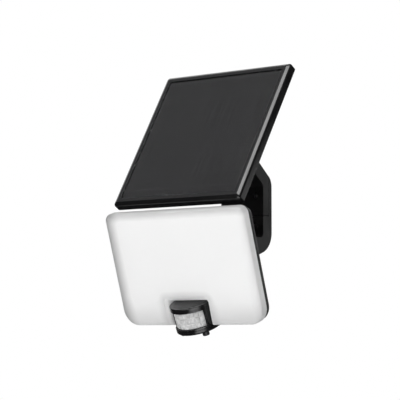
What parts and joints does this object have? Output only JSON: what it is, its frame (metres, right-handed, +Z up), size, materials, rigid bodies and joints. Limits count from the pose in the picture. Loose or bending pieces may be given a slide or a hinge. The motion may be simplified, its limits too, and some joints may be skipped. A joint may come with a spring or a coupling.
{
  "type": "solar floodlight with motion sensor",
  "caption": "Wall-mounted solar LED floodlight: a tilting solar panel over a tilting opal lamp, on a C-shaped bracket, with a tilting half-round motion sensor under the lamp.",
  "frame": {"origin": "centre of the wall plate's back face, on the wall", "axes": "+Y into the wall, +Z up, front towards -Y, +X to the right seen from the front"},
  "size_m": [0.2, 0.1439, 0.3051],
  "materials": {
    "black_plastic": "fine moulded satin black",
    "frame_plastic": "satin black with a slight shine",
    "clear_sheet": "clear glossy sheet over dark cells",
    "solar_cells": "near-black cells with fine grid lines",
    "opal_plastic": "white opal, translucent",
    "white_plastic": "matt white",
    "window_plastic": "translucent milky, ribbed",
    "rubber": "matt black",
    "steel": "zinc-plated",
    "circuit_board": "green solder mask",
    "light_board": "white-coated aluminium board",
    "battery_cell": "plastic-wrapped metal can"
  },
  "bodies": {
    "bracket": {"wall_plate": "black_plastic", "upper_arm": "black_plastic", "lower_arm": "black_plastic", "bracket_screw_upper_left": "steel", "bracket_screw_upper_right": "steel", "bracket_screw_lower_left": "steel", "bracket_screw_lower_right": "steel"},
    "panel": {"panel_frame": "frame_plastic", "panel_cover_sheet": "clear_sheet", "solar_cell_sheet": "solar_cells", "panel_seal": "rubber", "panel_back_cover": "black_plastic", "panel_cable_gland": "black_plastic", "panel_hinge_bolt": "steel", "panel_hinge_nut": "steel", "panel_friction_washer_left": "rubber", "panel_friction_washer_right": "rubber", "panel_screw_upper_left": "steel", "panel_screw_upper_right": "steel", "panel_screw_lower_left": "steel", "panel_screw_lower_right": "steel"},
    "lamp": {"diffuser": "opal_plastic", "diffuser_seal": "rubber", "lamp_housing": "black_plastic", "reflector_tray": "white_plastic", "led_board": "light_board", "battery_cell_upper": "battery_cell", "battery_cell_lower": "battery_cell", "battery_holder": "black_plastic", "control_board": "circuit_board", "lamp_cable_gland": "black_plastic", "mode_button_seal": "rubber", "sensor_base": "black_plastic", "lamp_hinge_bolt": "steel", "lamp_hinge_nut": "steel", "lamp_friction_washer_left": "rubber", "lamp_friction_washer_right": "rubber", "lamp_screw_upper_left": "steel", "lamp_screw_upper_right": "steel", "lamp_screw_lower_left": "steel", "lamp_screw_lower_right": "steel"},
    "sensor": {"sensor_shell": "black_plastic", "fresnel_lens": "window_plastic", "sensor_ring": "black_plastic", "sensor_board": "circuit_board", "pyro_sensor": "steel", "sensor_pin_left": "steel", "sensor_pin_right": "steel"},
    "time_dial": {"time_dial": "black_plastic"},
    "light_dial": {"light_dial": "black_plastic"},
    "mode_button": {"mode_button": "black_plastic"}
  },
  "joints": [
    {"name": "panel_tilt", "type": "hinge", "parent": "bracket", "child": "panel", "pos_m": [0, -0.065, 0.0856], "axis": [1, 0, 0], "range_deg": [-13, 31]},
    {"name": "lamp_tilt", "type": "hinge", "parent": "bracket", "child": "lamp", "pos_m": [0, -0.0747, -0.0367], "axis": [1, 0, 0], "range_deg": [0, 45]},
    {"name": "sensor_tilt", "type": "hinge", "parent": "lamp", "child": "sensor", "pos_m": [0, -0.09427, -0.11147], "axis": [1, 0, 0], "range_deg": [-6, 12]},
    {"name": "time_dial_turn", "type": "hinge", "parent": "sensor", "child": "time_dial", "pos_m": [0.0156, -0.10163, -0.13197], "axis": [0, -0.4029, 0.9152], "range_deg": [-135, 135]},
    {"name": "light_dial_turn", "type": "hinge", "parent": "sensor", "child": "light_dial", "pos_m": [-0.0156, -0.10163, -0.13197], "axis": [0, -0.4029, 0.9152], "range_deg": [-135, 135]},
    {"name": "mode_button_press", "type": "slide", "parent": "lamp", "child": "mode_button", "axis": [0, -0.9539, -0.3], "range_m": [0, 0.0018], "stiffness_N_per_m": 300, "springref_m": -0.001}
  ]
}
